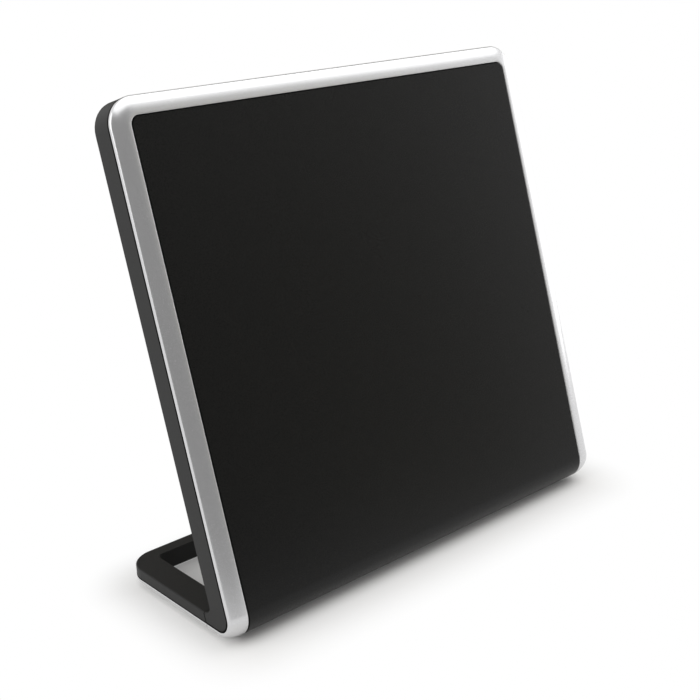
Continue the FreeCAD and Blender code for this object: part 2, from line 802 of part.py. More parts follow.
def build_socket():
    """The threaded coaxial socket with its insulator, contact, washer and nut."""
    body = new_body("coax_socket", PANEL_NODES)
    shoulder = hexagons(body, "ShoulderHex", "XY", SOCKET_PLACE, "shoulder_corner", minus("inside_back"))
    pad(body, "Shoulder", shoulder, "shoulder_height")
    barrel = circles(body, "BarrelRing", "XY", SOCKET_PLACE, "barrel_radius", minus("inside_back"))
    pad(body, "Barrel", barrel, "barrel_end - inside_back", back=True)
    end = -value("barrel_end")
    dress(
        body,
        "Chamfer",
        "BarrelLead",
        "barrel_chamfer",
        lambda edge: near(edge.BoundBox.ZMax, end),
    )
    relief = circles(body, "ReliefRings", "XY", SOCKET_PLACE, "barrel_radius + wall", minus("nut_end"))
    add_circle(relief, SOCKET_PLACE[0], "barrel_radius - relief_depth")
    pocket(body, "Relief", relief, "relief_width")
    bore = circles(body, "BoreRing", "XY", SOCKET_PLACE, "bore_radius", minus("board_back"))
    pocket(body, "Bore", bore, "barrel_end")

    insulator = new_body("socket_insulator", PANEL_NODES)
    root = minus("board_back + insulator_step")
    ring = circles(insulator, "InsulatorRing", "XY", SOCKET_PLACE, "bore_radius", root)
    add_circle(ring, SOCKET_PLACE[0], "contact_radius")
    pad(insulator, "Insulator", ring, "barrel_end - board_back - 2 * insulator_step", back=True)

    contact = new_body("socket_contact", PANEL_NODES)
    stem = circles(contact, "StemRing", "XY", SOCKET_PLACE, "contact_radius", root)
    pad(contact, "Stem", stem, "barrel_end - board_back - 2 * insulator_step", back=True)
    tail = circles(contact, "ContactTailRing", "XY", SOCKET_PLACE, "contact_tail", root)
    pad(contact, "ContactTail", tail, "insulator_step + board_thickness")
    mouth = circles(contact, "MouthRing", "XY", SOCKET_PLACE, "contact_bore", minus("barrel_end"))
    pocket(contact, "Mouth", mouth, "contact_depth", back=True)

    washer = new_body("socket_washer", PANEL_NODES)
    ring = circles(washer, "WasherRing", "XY", SOCKET_PLACE, "washer_radius", "-panel_depth")
    add_circle(ring, SOCKET_PLACE[0], "barrel_radius + fit_gap")
    pad(washer, "Washer", ring, "washer_thickness", back=True)

    nut = new_body("socket_nut", PANEL_NODES)
    nut_start = "nut_height - (nut_end)"
    block = hexagons(nut, "NutHex", "XY", SOCKET_PLACE, "nut_corner", nut_start)
    pad(nut, "NutBlock", block, "nut_height", back=True)
    hole = circles(nut, "NutRing", "XY", SOCKET_PLACE, "barrel_radius + fit_gap / 3", nut_start)
    pocket(nut, "NutHole", hole, "nut_height")


def build_screws(label, nodes, places, seat, size, up):
    """A group of screws whose six-sided heads bear on a seat; the shanks run up or down from it."""
    body = new_body(label, nodes)
    heads = hexagons(body, f"{label}_heads", "XY", places, f"{size}_head_radius", seat)
    pad(body, f"{label}_pans", heads, f"{size}_head_height", back=up)
    shanks = hexagons(body, f"{label}_stems", "XY", places, f"{size}_screw_radius", seat)
    pad(body, f"{label}_shanks", shanks, f"{size}_screw_length", back=not up)


build_silver_rim()
build_front_panel()
build_rear_cover()
build_elements()
build_feed_board()
build_socket()
build_screws("cover_screws", PANEL_NODES, cover_places(), minus(COVER_SEAT), "cover", True)
build_screws("feed_screws", PANEL_NODES, feed_places(), "element_thickness - (board_front)", "feed", False)
build_base_top()
build_base_tray()
build_feet()
build_screws("tray_screws", BASE_NODES, foot_places(), TRAY_SEAT, "tray", True)
build_screws("stand_screws", BASE_NODES, stand_places(), STAND_SEAT, "stand", True)

# Place the panel's pieces on the slope and the base's on the level
for node in PANEL_NODES + BASE_NODES:
    node.setExpression("Placement.Base.y", formula("corner_place"))
    node.setExpression("Placement.Base.z", formula("foot_height"))
for node in PANEL_NODES:
    node.Placement.Rotation = FreeCAD.Rotation(FreeCAD.Vector(1, 0, 0), value("90 - lean"))
    node.setExpression("Placement.Rotation.Angle", formula("(90 - lean) * 1deg"))
doc.recompute()

# Nothing is written unless every object and every shape is sound
for item in doc.Objects:
    if any(state in ("Invalid", "Error") for state in item.State):
        raise RuntimeError(f"{item.Name} did not build: {item.State}")
os.makedirs("parts", exist_ok=True)
for node in PANEL_NODES + BASE_NODES:
    if node.Shape.isNull() or not node.Shape.isValid():
        raise RuntimeError(f"{node.Label} has no sound shape")
for node in PANEL_NODES + BASE_NODES:
    node.Shape.exportStep(f"parts/{node.Label}.step")
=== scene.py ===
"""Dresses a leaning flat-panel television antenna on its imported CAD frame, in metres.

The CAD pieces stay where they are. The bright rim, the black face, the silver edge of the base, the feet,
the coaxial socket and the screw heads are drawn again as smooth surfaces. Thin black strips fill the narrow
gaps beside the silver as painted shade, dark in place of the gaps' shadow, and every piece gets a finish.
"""

import functools
import json
import logging
import math
from collections.abc import Iterator
from dataclasses import dataclass
from enum import Enum
from typing import Any

import bmesh
import bpy
import numpy as np
from bpy.types import ID, Material, Mesh, Node, NodeSocket, NodeTree, Object
from mathutils import Matrix, Vector
from numpy.typing import ArrayLike


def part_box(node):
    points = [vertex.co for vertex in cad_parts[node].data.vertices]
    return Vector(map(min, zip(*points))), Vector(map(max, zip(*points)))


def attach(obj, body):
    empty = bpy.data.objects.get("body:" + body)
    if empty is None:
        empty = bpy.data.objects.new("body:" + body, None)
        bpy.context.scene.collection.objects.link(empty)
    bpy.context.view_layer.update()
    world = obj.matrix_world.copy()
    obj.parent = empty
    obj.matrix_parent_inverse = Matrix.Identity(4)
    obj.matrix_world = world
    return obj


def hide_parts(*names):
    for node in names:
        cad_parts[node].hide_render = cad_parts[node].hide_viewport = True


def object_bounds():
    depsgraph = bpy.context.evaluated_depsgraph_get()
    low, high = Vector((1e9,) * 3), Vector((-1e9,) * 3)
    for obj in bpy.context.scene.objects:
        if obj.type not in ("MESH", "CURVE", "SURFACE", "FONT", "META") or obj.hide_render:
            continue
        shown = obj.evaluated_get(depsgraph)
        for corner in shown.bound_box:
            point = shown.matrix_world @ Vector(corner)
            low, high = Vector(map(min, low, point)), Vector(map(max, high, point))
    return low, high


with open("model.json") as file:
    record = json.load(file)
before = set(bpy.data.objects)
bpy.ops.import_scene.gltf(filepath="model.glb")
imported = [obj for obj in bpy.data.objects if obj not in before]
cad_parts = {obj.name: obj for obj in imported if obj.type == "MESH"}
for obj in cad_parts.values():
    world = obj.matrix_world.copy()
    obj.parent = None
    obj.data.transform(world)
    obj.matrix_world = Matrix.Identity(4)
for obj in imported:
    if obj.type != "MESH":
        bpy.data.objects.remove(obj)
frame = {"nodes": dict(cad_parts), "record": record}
CAD_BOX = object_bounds()

MM = 0.001
BODY = "root"
LOG = logging.getLogger("antenna")
WHITE = "#ffffff"
# Points of a mesh that lie nearer to each other than this, in metres, are one point
MERGE_DISTANCE = 1e-7
# Faces that meet at a wider angle than this keep a crisp edge between them
CRISP_ANGLE = math.radians(32)


class Slot(Enum):
    """Material slots of the record."""

    SATIN_BLACK = "satin_black"
    TEXTURED_BLACK = "textured_black"
    SILVER = "silver_lacquer"
    RUBBER = "foot_rubber"
    TINPLATE = "tinplate"
    BOARD = "circuit_board"
    NICKEL = "nickel_plate"
    INSULATOR = "white_insulator"
    BRASS = "contact_brass"
    STEEL = "screw_steel"


def linear(hex_colour: str) -> tuple[float, float, float, float]:
    """Turn an sRGB hex colour into linear red, green, blue and full alpha, by the standard's own curve.

    Args:
        hex_colour: Six hex digits after a hash mark.

    Returns:
        The linear colour with alpha 1.
    """
    parts = [int(hex_colour[index : index + 2], 16) / 255 for index in (1, 3, 5)]
    curved = [part / 12.92 if part <= 0.04045 else ((part + 0.055) / 1.055) ** 2.4 for part in parts]
    return (*curved, 1.0)


def add_node(
    tree: NodeTree,
    kind: str,
    settings: dict[str | int, Any] | None = None,
    links: dict[str | int, NodeSocket] | None = None,
) -> Node:
    """Add a node with its settings and links.

    Args:
        tree: The tree that gets the node.
        kind: Blender's type name of the node.
        settings: Values by socket name or number, or by the node's own property.
        links: Sockets to join, by the name or number of this node's input.

    Returns:
        The new node.
    """
    node = tree.nodes.new(kind)
    for key, setting in (settings or {}).items():
        if isinstance(key, int) or key in node.inputs:
            node.inputs[key].default_value = setting
        else:
            setattr(node, key, setting)
    for key, socket in (links or {}).items():
        tree.links.new(socket, node.inputs[key])
    return node


def colour_ramp(
    tree: NodeTree,
    share: NodeSocket,
    colours: tuple[str, str],
    span: tuple[float, float] = (0.0, 1.0),
) -> NodeSocket:
    """Add a ramp from one colour to another.

    Args:
        tree: The tree that gets the node.
        share: The socket that moves along the ramp.
        colours: The sRGB hex colours of its two ends.
        span: Where on the ramp the two ends lie.

    Returns:
        The socket that gives the colour.
    """
    ramp = add_node(tree, "ShaderNodeValToRGB", links={"Fac": share})
    for element, position, colour in zip(ramp.color_ramp.elements, span, colours):
        element.position = position
        element.color = linear(colour)
    return ramp.outputs["Color"]


@dataclass(frozen=True)
class Finish:
    """A surface finish: one Principled shader with a fine grain in colour, roughness and height.

    The grain's two colours are close together, so that the surface reads as one colour with life in it. Its
    size is in millimetres, a few times coarser than on a real surface, where it would be too fine to show.
    """

    name: str
    colour: str
    colour_two: str
    roughness: float
    roughness_spread: float
    grain_mm: float
    bump_mm: float
    metallic: float = 0.0
    ior: float = 1.5
    specular: float = 0.5
    coat: float = 0.0
    coat_roughness: float = 0.1
    stretch: tuple[float, float, float] = (1.0, 1.0, 1.0)
    detail: float = 3.0
    detail_share: float = 0.6
    colour_span: tuple[float, float] = (0.35, 0.65)
    roughness_span: tuple[float, float] = (0.3, 0.7)

    @functools.cache
    def material(self) -> Material:
        """Make the material once: object coordinates, noise, two ramps and a bump into the shader.

        Returns:
            The finish's material.
        """
        made = bpy.data.materials.new(self.name)
        made.use_nodes = True
        tree = made.node_tree
        tree.nodes.clear()
        place = add_node(tree, "ShaderNodeTexCoord").outputs["Object"]
        mapped = add_node(tree, "ShaderNodeMapping", {"Scale": self.stretch}, {"Vector": place}).outputs[0]
        noise = {"Scale": 1.0 / (self.grain_mm * MM), "Detail": self.detail, "Roughness": self.detail_share}
        grain = add_node(tree, "ShaderNodeTexNoise", noise, {"Vector": mapped}).outputs["Fac"]
        sheen = {
            "From Min": self.roughness_span[0],
            "From Max": self.roughness_span[1],
            "To Min": self.roughness - self.roughness_spread,
            "To Max": self.roughness + self.roughness_spread,
        }
        rough = add_node(tree, "ShaderNodeMapRange", sheen, {"Value": grain}).outputs[0]
        relief = {"Strength": 1.0, "Distance": self.bump_mm * MM}
        bump = add_node(tree, "ShaderNodeBump", relief, {"Height": grain}).outputs["Normal"]
        tint = colour_ramp(tree, grain, (self.colour, self.colour_two), self.colour_span)
        settings = {
            "Metallic": self.metallic,
            "IOR": self.ior,
            "Specular IOR Level": self.specular,
            "Coat Weight": self.coat,
            "Coat Roughness": self.coat_roughness,
        }
        links = {"Base Color": tint, "Roughness": rough, "Normal": bump}
        shader = add_node(tree, "ShaderNodeBsdfPrincipled", settings, links)
        add_node(tree, "ShaderNodeOutputMaterial", links={"Surface": shader.outputs["BSDF"]})
        return made


# The four numbers of each are its roughness, the spread of that, the grain's size and the bump's height
FINISH_OF = {
    # Moulded satin ABS: an even near-black sheet with a soft sheen and no visible texture
    Slot.SATIN_BLACK: Finish("satin_abs", "#121212", "#161615", 0.28, 0.03, 0.35, 0.002, specular=0.2),
    # Spark-eroded ABS: the same black, greyer in the light because its fine pits scatter it
    Slot.TEXTURED_BLACK: Finish(
        "spark_eroded_abs", "#131312", "#191918", 0.50, 0.06, 0.55, 0.012, specular=0.3
    ),
    # Silver lacquer: fine aluminium flake under a thin clear film, with smooth soft highlights
    Slot.SILVER: Finish(
        "flake_silver_lacquer", "#d4d4d5", "#d5d5d6", 0.27, 0.005, 0.20, 0.00005, metallic=0.75, coat=0.2
    ),
    # Moulded rubber: black, dull and without any gleam
    Slot.RUBBER: Finish("moulded_rubber", "#101010", "#181817", 0.78, 0.08, 0.60, 0.02, specular=0.0),
    # Tin-plated steel sheet: pale grey metal with rolling streaks
    Slot.TINPLATE: Finish(
        "rolled_tinplate",
        "#b4b4ae",
        "#c6c6c0",
        roughness=0.34,
        roughness_spread=0.08,
        grain_mm=0.8,
        bump_mm=0.002,
        metallic=1.0,
        stretch=(1.0, 1.0, 0.06),
    ),
    # Glass-fibre laminate under solder mask: deep green with a low sheen
    Slot.BOARD: Finish("solder_mask_laminate", "#0d3d22", "#124a2a", 0.38, 0.05, 0.5, 0.006),
    # Bright nickel on turned brass: a warm grey mirror, slightly clouded
    Slot.NICKEL: Finish("turned_nickel_plate", "#c9c4ba", "#d6d2c9", 0.20, 0.05, 0.25, 0.001, metallic=1.0),
    # Turned fluoropolymer: waxy off-white
    Slot.INSULATOR: Finish("turned_fluoropolymer", "#e4e2da", "#edebe4", 0.45, 0.04, 0.4, 0.004, ior=1.38),
    # Plain turned brass: a yellow glint in the socket
    Slot.BRASS: Finish("turned_brass", "#c39a4e", "#d0a85c", 0.28, 0.05, 0.25, 0.001, metallic=1.0),
    # Dark zinc on pressed steel: grey metal with a dull cast
    Slot.STEEL: Finish("dark_zinc_steel", "#4a4a4b", "#5c5c5c", 0.38, 0.08, 0.3, 0.003, metallic=1.0),
}


def grid_faces(rows: int, columns: int, wrap: bool) -> np.ndarray:
    """Corner numbers of the quads of a grid of points.

    Args:
        rows: Points along the first parameter.
        columns: Points along the second parameter.
        wrap: Whether the last column joins the first.

    Returns:
        One row of four point numbers for each quad.
    """
    row = np.arange(rows - 1)[:, None] * columns
    column = np.arange(columns if wrap else columns - 1)[None, :]
    beside = (column + 1) % columns
    corners = (row + column, row + beside, row + columns + beside, row + columns + column)
    return np.stack(np.broadcast_arrays(*corners), axis=-1).reshape(-1, 4)


def add_object(name: str, data: ID) -> Object:
    """Put a mesh, a lamp or a camera into the scene.

    Args:
        name: Name of the object.
        data: What the object shows or holds.

    Returns:
        The new object.
    """
    made = bpy.data.objects.new(name, data)
    bpy.context.scene.collection.objects.link(made)
    return made


def make_piece(
    name: str, grid: np.ndarray, slot: Slot, *, wrap: bool = False, caps: bool = False
) -> Object:
    """Make an object from a grid of points, face it outwards and dress it.

    Args:
        name: Name of the piece.
        grid: Points in metres, rows by columns by three.
        slot: Material slot, which gives the finish.
        wrap: Whether the last column joins the first.
        caps: Whether the first and last rows are closed by a face.

    Returns:
        The new object, riding on the frame.
    """
    rows, columns = grid.shape[:2]
    faces = grid_faces(rows, columns, wrap).tolist()
    if caps:
        faces.append(list(range(columns)))
        faces.append(list(range((rows - 1) * columns, rows * columns)))
    mesh = bpy.data.meshes.new(name)
    mesh.from_pydata(grid.reshape(-1, 3).tolist(), [], faces)
    return finish_piece(name, mesh, slot)


def finish_piece(name: str, mesh: Mesh, slot: Slot) -> Object:
    """Merge doubles, face the mesh outwards, smooth it and let it ride on the frame.

    Args:
        name: Name of the piece.
        mesh: The mesh, in metres and in place.
        slot: Material slot, which gives the finish.

    Returns:
        The new object.
    """
    work = bmesh.new()
    work.from_mesh(mesh)
    bmesh.ops.remove_doubles(work, verts=work.verts, dist=MERGE_DISTANCE)
    bmesh.ops.recalc_face_normals(work, faces=work.faces)
    work.to_mesh(mesh)
    work.free()
    mesh.shade_smooth()
    mesh.set_sharp_from_angle(angle=CRISP_ANGLE)
    mesh.materials.append(FINISH_OF[slot].material())
    piece = add_object(name, mesh)
    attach(piece, BODY)
    LOG.info("piece %s: %d faces", name, len(mesh.polygons))
    return piece


@dataclass(frozen=True)
class Stance:
    """Main sizes of the panel and how it stands, in millimetres.

    The corner is where the planes of the face and of the underside would meet.
    """

    width: float = 225.0
    length: float = 221.0
    depth: float = 15.1
    overall_depth: float = 79.6
    lean_deg: float = 16.0
    foot_height: float = 1.5
    rim_width: float = 8.0
    rim_depth: float = 3.9
    reveal: float = 0.5
    tip_radius: float = 6.5
    corner_radius: float = 12.0
    heel_fillet: float = 3.6
    heel_land: float = 0.3

    @property
    def lean(self) -> float:
        """The lean in radians."""
        return math.radians(self.lean_deg)

    @property
    def sine(self) -> float:
        """Sine of the lean."""
        return math.sin(self.lean)

    @property
    def cosine(self) -> float:
        """Cosine of the lean."""
        return math.cos(self.lean)

    @property
    def half(self) -> float:
        """Half the panel's width."""
        return self.width / 2

    @property
    def bend_radius(self) -> float:
        """Outer radius of the lower bend."""
        return self.rim_depth + self.tip_radius

    @property
    def half_turn(self) -> float:
        """Tangent of half the angle that the sheet keeps open at its foot."""
        return math.tan(math.pi / 4 - self.lean / 2)

    @property
    def bend_start(self) -> float:
        """Distance from the corner to the bend, up the slope and along the underside."""
        return self.bend_radius / self.half_turn

    @property
    def seam(self) -> float:
        """Depth of the joint between the panel and the base, behind the face."""
        return self.depth + (self.heel_fillet / self.half_turn + self.heel_land) * self.cosine

    @property
    def seam_back(self) -> float:
        """Distance from the corner to that joint, along the underside."""
        return self.seam / self.cosine

    @property
    def corner_back(self) -> float:
        """Where the corner lies, front to back."""
        return -self.overall_depth / 2 - (self.bend_start - self.bend_radius)

    @property
    def base_rear(self) -> float:
        """Distance from the corner back to the rear of the base."""
        return self.overall_depth / 2 - self.corner_back

    def level(self, across: ArrayLike, back: ArrayLike, height: ArrayLike) -> np.ndarray:
        """Points across, back from the corner and above the underside, in the row's frame in metres."""
        across, back, height = np.broadcast_arrays(across, back, height)
        return np.stack([across, back + self.corner_back, height + self.foot_height], axis=-1) * MM

    def sloped(self, across: ArrayLike, rise: ArrayLike, out: ArrayLike) -> np.ndarray:
        """Points across, up the slope from the corner and out of the face, in the row's frame in metres."""
        rise, out = np.broadcast_arrays(rise, out)
        return self.level(across, rise * self.sine - out * self.cosine, rise * self.cosine + out * self.sine)


@dataclass(frozen=True)
class Stations:
    """Places along a path, with the ways in from the side and down from the skin at each, in millimetres."""

    origin: np.ndarray
    inward: np.ndarray
    deep: np.ndarray

    @staticmethod
    def spread(origin: np.ndarray, inward: np.ndarray, deep: np.ndarray) -> "Stations":
        """Stations at these places, where one way in or down may serve for all of them."""
        return Stations(origin, np.broadcast_to(inward, origin.shape), np.broadcast_to(deep, origin.shape))

    def carry(self, inset: np.ndarray, depth: np.ndarray) -> np.ndarray:
        """Carry a profile along the path: origin plus inset times inward plus depth times deep.

        Args:
            inset: Distance in from the side, for each profile point, or for each station and point.
            depth: Depth under the skin, likewise.

        Returns:
            The points' three coordinates, each stations by profile points.
        """
        points = (
            self.origin[:, None, :]
            + inset[..., None] * self.inward[:, None, :]
            + depth[..., None] * self.deep[:, None, :]
        )
        return np.moveaxis(points, -1, 0)

    def with_mirror(self) -> "Stations":
        """These stations, then the same ones on the other side in the opposite order."""
        flip = np.array([-1.0, 1.0, 1.0])
        other = Stations(self.origin[::-1] * flip, self.inward[::-1] * flip, self.deep[::-1] * flip)
        return Stations.joined(self, other)

    @staticmethod
    def joined(*runs: "Stations") -> "Stations":
        """Several runs one after another."""
        return Stations(
            np.concatenate([run.origin for run in runs]),
            np.concatenate([run.inward for run in runs]),
            np.concatenate([run.deep for run in runs]),
        )


def arc_points(
    centre: tuple[float, float], radius: float, start: float, end: float, count: int
) -> np.ndarray:
    """Points of a profile's arc: centre plus radius times the cosine and sine of even angles in degrees."""
    angle = np.radians(np.linspace(start, end, count))
    return np.stack([centre[0] + radius * np.cos(angle), centre[1] + radius * np.sin(angle)], axis=-1)


def strip_profile(inset: tuple[float, float], depth: tuple[float, float]) -> np.ndarray:
    """Corners of a strip's section: outer and inner inset, each at the bottom's and the top's depth."""
    (outer, inner), (top, bottom) = inset, depth
    return np.array([[outer, bottom], [outer, top], [inner, top], [inner, bottom]])


@dataclass(frozen=True)
class SilverSection:
    """Outer section of the silver: a parting edge, a rounded side edge and a broad crown, in millimetres."""

    depth: float = 3.9
    edge_radius: float = 1.3
    crown_radius: float = 14.5
    crown_end: float = 7.6
    parting_radius: float = 0.18
    parting_gap: float = 0.25
    parting_points: int = 5
    edge_points: int = 13
    crown_points: int = 25

    @property
    def parting(self) -> float:
        """Depth of the parting edge, which stays clear of the black by the gap."""
        return self.depth - self.parting_gap

    @property
    def fall(self) -> float:
        """How far the crown has turned where it meets the side edge, in radians.

        The side edge's arc touches the crown's from inside, so both centres and that point are in one line.
        """
        return math.asin((self.crown_end - self.edge_radius) / (self.crown_radius - self.edge_radius))

    @property
    def crown_start(self) -> float:
        """Angle at which the side edge's arc ends and the crown's begins, in degrees."""
        return 270.0 - math.degrees(self.fall)

    def edge(self) -> np.ndarray:
        """The run from the parting edge to the crown: an arc at the parting edge and one at the side edge.

        Returns:
            Insets and depths, one row for each point.
        """
        corner, side = self.parting_radius, self.edge_radius
        parting = arc_points((corner, self.parting - corner), corner, 90.0, 180.0, self.parting_points)
        low = self.crown_radius - (self.crown_radius - side) * math.cos(self.fall)
        rounded = arc_points((side, low), side, 180.0, self.crown_start, self.edge_points)
        return np.concatenate([parting, rounded])

    def crown(self) -> np.ndarray:
        """Insets and depths of the crown's arc, which ends level with the face."""
        centre = (self.crown_end, self.crown_radius)
        return arc_points(centre, self.crown_radius, self.crown_start, 270.0, self.crown_points)


@dataclass(frozen=True)
class Bead:
    """A thin black bead in the gap between silver and black, a little proud of both, in millimetres: painted
    shade for that gap.
    """

    lap: float
    proud: float = 0.03
    width: float = 0.4
    clearance: float = 0.02

    def profile(self, section: SilverSection) -> np.ndarray:
        """Corners of its section, from just under the silver to its lap over the black edge."""
        inset = (-self.proud, self.width - self.proud)
        return strip_profile(inset, (section.parting + self.clearance, section.depth + self.lap))


@dataclass
class SilverRim:
    """The silver frame round the face: sides, top, both lower bends and their returns to the seam."""

    stance: Stance
    section: SilverSection
    lip_radius: float = 0.4
    lip_points: int = 7
    ledge_depth: float = 2.0
    ledge_width: float = 2.5
    return_steps: int = 4
    bend_steps: int = 28
    leg_steps: int = 11
    corner_steps: int = 24

    def profile(self) -> np.ndarray:
        """Section of the rim: the outer edge, the crown, a rounded lip and a ledge under the face.

        Returns:
            Insets and depths, one row for each point.
        """
        lip, width = self.lip_radius, self.stance.rim_width
        rounded = arc_points((width - lip, lip), lip, -90.0, 0.0, self.lip_points)
        ledge_end = width + self.ledge_width
        ledge = [[width, self.ledge_depth], [ledge_end, self.ledge_depth], [ledge_end, self.section.parting]]
        return np.concatenate([self.section.edge(), self.section.crown(), rounded, ledge])

    def left_half(self) -> Stations:
        """Lay out the left half of the path: the return from the seam, the bend, the leg and the top corner.

        The bend and the corner are a centre plus a radius times the ray at each angle. The first section
        leans with the seam.

        Returns:
            Stations in the panel's own axes: across, up the slope and out of the face.
        """
        stance = self.stance
        across, upslope, out = np.eye(3)
        side = -stance.half * across
        back = stance.sine * upslope - stance.cosine * out
        run = np.linspace(stance.seam_back, stance.bend_start, self.return_steps)[:, None]
        deep = np.tile(stance.cosine * upslope + stance.sine * out, (self.return_steps, 1))
        deep[0] += math.tan(stance.lean) * back
        returned = Stations.spread(side + run * back, across, deep)
        turn = np.linspace(math.pi / 2 + stance.lean, 0.0, self.bend_steps + 1)[1:, None]
        ray = np.cos(turn) * out - np.sin(turn) * upslope
        centre = side + stance.bend_start * upslope - stance.bend_radius * out
        bend = Stations.spread(centre + stance.bend_radius * ray, across, -ray)
        top = stance.length - stance.corner_radius
        rise = np.linspace(stance.bend_start, top, self.leg_steps + 1)[1:, None]
        leg = Stations.spread(side + rise * upslope, across, -out)
        sweep = np.linspace(math.pi, math.pi / 2, self.corner_steps + 1)[1:, None]
        ray = np.cos(sweep) * across + np.sin(sweep) * upslope
        centre = side + stance.corner_radius * across + top * upslope
        corner = Stations.spread(centre + stance.corner_radius * ray, -ray, -out)
        return Stations.joined(returned, bend, leg, corner)

    def sweep(self, name: str, profile: np.ndarray, slot: Slot) -> Object:
        """Make a piece by carrying a section of insets and depths round the whole path, from seam to seam."""
        grid = self.stance.sloped(*self.left_half().with_mirror().carry(*profile.T))
        return make_piece(name, grid, slot, wrap=True, caps=True)

    def build(self) -> None:
        """Carry the rim's own section round and stand it in for the CAD frame."""
        piece = self.sweep("silver_rim_skin", self.profile(), Slot.SILVER)
        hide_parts("silver_rim")


@dataclass
class RimShadeStrips:
    """Black strips in the rim's two narrow gaps, to the face and to the rear cover, in millimetres.

    The strip beside the face lies deep in its gap. The bead beside the cover fills its gap and laps over the
    black edge. Both are painted shade: dark pieces that make each gap read as a dark shadow line.
    """

    rim: SilverRim
    bead: Bead = Bead(lap=0.5)
    strip_depth: float = 1.1
    clearance: float = 0.02

    def build(self) -> None:
        """Carry both strips along the rim's own path."""
        stance, section = self.rim.stance, self.rim.section
        inset = (stance.rim_width + self.clearance, stance.rim_width + stance.reveal - self.clearance)
        strip = strip_profile(inset, (self.strip_depth, self.rim.ledge_depth - self.clearance))
        # Both strips are painted shade: dark pieces in place of the gaps' shadow
        self.rim.sweep("reveal_shade_strip", strip, Slot.RUBBER)
        self.rim.sweep("rim_shade_strip", self.bead.profile(section), Slot.RUBBER)


@dataclass
class JointShadeStrip:
    """The black strip in the joint between the panel's foot and the base, on each side, in millimetres:
    painted shade for the joint's shadow line.
    """

    stance: Stance
    base_height: float = 8.6
    base_edge: float = 0.4
    width: float = 0.45
    thickness: float = 0.3
    proud: float = 0.03

    def build(self) -> None:
        """Stand a thin leaning bar in each joint, from the silver up to the base's top edge."""
        stance = self.stance
        across = stance.half + self.proud - self.thickness * np.array([0.0, 1.0, 1.0, 0.0])
        out = -stance.seam - self.width * np.array([0.0, 0.0, 1.0, 1.0])
        height = np.array([stance.rim_depth, self.base_height - self.base_edge])
        rise = (height[:, None] - out * stance.sine) / stance.cosine
        # Each bar is painted shade: a dark strip in place of the joint's shadow
        for side, sign in (("left", -1.0), ("right", 1.0)):
            grid = stance.sloped(sign * across, rise, out)
            make_piece(f"joint_shade_strip_{side}", grid, Slot.RUBBER, wrap=True, caps=True)


@dataclass
class FrontFace:
    """The black face: one sheet that rolls under at the foot, in millimetres."""

    stance: Stance
    thickness: float = 2.0
    edge_radius: float = 0.15
    edge_segments: int = 3
    edge_angle_deg: float = 60.0
    corner_points: int = 17
    slope_steps: int = 23
    bend_steps: int = 32
    return_steps: int = 3
    columns: int = 25

    def skin(self) -> np.ndarray:
        """Work out the sheet's outer skin, from its top edge to the seam.

        It is straight down the slope, an arc round the bend, then straight along the underside. Its half
        width is even below the top corners and follows a quarter circle there.

        Returns:
            Points in the row's frame, in metres, rows by columns.
        """
        stance = self.stance
        inset = stance.rim_width + stance.reveal
        radius = stance.corner_radius - inset
        corner = stance.length - inset - radius
        rounding = corner + radius * np.cos(np.linspace(0.0, math.pi / 2, self.corner_points))
        slope = np.linspace(corner, stance.bend_start, self.slope_steps + 1)[1:]
        flat = np.concatenate([rounding, slope])
        turn = np.linspace(0.0, math.pi / 2 + stance.lean, self.bend_steps + 1)[1:]
        bend_rise = stance.bend_start - stance.bend_radius * np.sin(turn)
        bend_out = stance.bend_radius * (np.cos(turn) - 1.0)
        back = np.linspace(stance.bend_start, stance.seam_back, self.return_steps + 1)[1:]
        rise = np.concatenate([flat, bend_rise, back * stance.sine])
        out = np.concatenate([np.zeros_like(flat), bend_out, -back * stance.cosine])
        climb = np.clip(rise - corner, 0.0, radius)
        half = stance.half - inset - radius + np.sqrt(radius**2 - climb**2)
        across = np.linspace(-1.0, 1.0, self.columns)
        return stance.sloped(half[:, None] * across, rise[:, None], out[:, None])

    def build(self) -> None:
        """Give the skin its thickness and a soft edge, and stand it in for the CAD face."""
        piece = make_piece("front_face_sheet", self.skin(), Slot.SATIN_BLACK)
        solid = piece.modifiers.new("sheet", "SOLIDIFY")
        solid.thickness = self.thickness * MM
        solid.offset = -1.0
        edge = piece.modifiers.new("edge", "BEVEL")
        edge.width = self.edge_radius * MM
        edge.segments = self.edge_segments
        edge.limit_method = "ANGLE"
        edge.angle_limit = math.radians(self.edge_angle_deg)
        edge.harden_normals = True
        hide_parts("front_panel")


